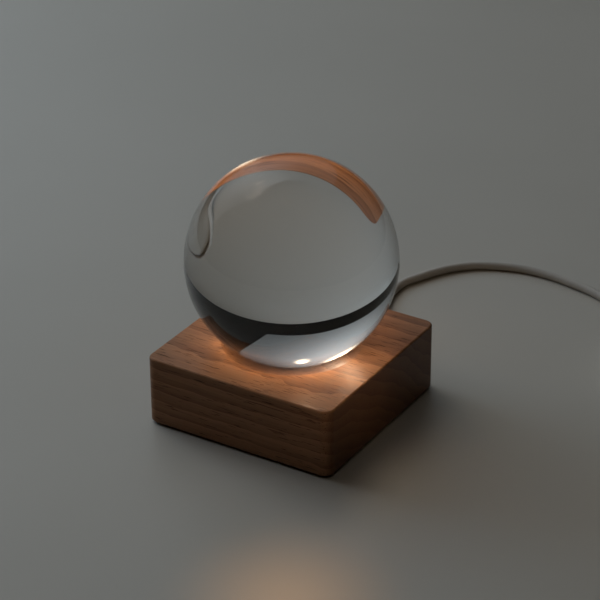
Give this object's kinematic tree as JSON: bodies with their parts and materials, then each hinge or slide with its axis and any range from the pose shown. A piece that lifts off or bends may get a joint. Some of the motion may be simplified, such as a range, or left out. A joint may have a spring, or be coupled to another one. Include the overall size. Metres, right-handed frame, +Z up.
{
  "type": "crystal ball on lit base",
  "caption": "Clear glass ball that rests in the dish of a square wooden block with rounded corners, lit from below through a round well, with a thin supply lead and push switch.",
  "frame": {"origin": "centre of the wooden block's footprint, on the surface that the feet stand on", "axes": "+Z up through the ball's centre, +Y towards the back wall that the lead leaves through, +X along the wood's grain"},
  "size_m": [0.2043, 0.183, 0.1017],
  "materials": {
    "clear_glass": "polished, clear all through",
    "oiled_wood": "oiled, fine straight dark grain, satin",
    "clear_acrylic": "clear moulded plastic disc",
    "white_plastic": "white moulded plastic",
    "board_white": "white solder mask",
    "led_body": "white lamp body",
    "led_fill": "yellow silicone fill",
    "resistor_black": "black chip",
    "solder": "bright solder",
    "screw_steel": "zinc plated",
    "wire_red": "thin insulation",
    "wire_black": "thin insulation",
    "lead_sheath": "soft matt sheath",
    "nylon_tie": "translucent nylon",
    "grommet_rubber": "soft moulded rubber",
    "cover_plastic": "fine textured black",
    "foot_rubber": "soft black rubber",
    "switch_plastic": "moulded, lightly textured",
    "button_plastic": "moulded, satin",
    "spring_steel": "drawn wire",
    "contact_brass": "stamped strip",
    "tie_black": "hook and loop band",
    "plug_plastic": "moulded grip",
    "plug_steel": "nickel plated sheet",
    "contact_gold": "gold plated"
  },
  "bodies": {
    "base": {"base_block": "oiled_wood", "light_window": "clear_acrylic", "reflector_ring": "white_plastic", "led_board": "board_white", "led_packages": "led_body", "led_phosphor": "led_fill", "chip_resistors": "resistor_black", "solder_joints": "solder", "board_screws": "screw_steel", "wire_red": "wire_red", "wire_black": "wire_black", "lead_inner": "lead_sheath", "lead_tie": "nylon_tie", "cable_grommet": "grommet_rubber", "bottom_cover": "cover_plastic", "cover_screws": "screw_steel", "rubber_feet": "foot_rubber", "lead_run": "lead_sheath", "switch_lower_shell": "switch_plastic", "switch_upper_shell": "switch_plastic", "switch_spring": "spring_steel", "switch_contacts": "contact_brass", "switch_lead_ends": "lead_sheath", "switch_wires_red": "wire_red", "switch_wire_black": "wire_black", "switch_screws": "screw_steel", "lead_to_coil": "lead_sheath", "cord_coil": "lead_sheath", "coil_tie": "tie_black", "lead_to_plug": "lead_sheath", "plug_overmould": "plug_plastic", "plug_shell": "plug_steel", "plug_tongue": "white_plastic", "plug_contacts": "contact_gold"},
    "ball": {"crystal_ball": "clear_glass"},
    "button": {"switch_button": "button_plastic", "switch_bridge": "contact_brass"}
  },
  "joints": [
    {"name": "ball_lift", "type": "slide", "parent": "base", "child": "ball", "axis": [0, 0, 1], "range_m": [0, 0.06]},
    {"name": "switch_press", "type": "slide", "parent": "base", "child": "button", "axis": [0, 0, -1], "range_m": [0, 0.0012], "stiffness_N_per_m": 400, "springref_m": -0.0008, "deforming": ["switch_spring"]}
  ]
}
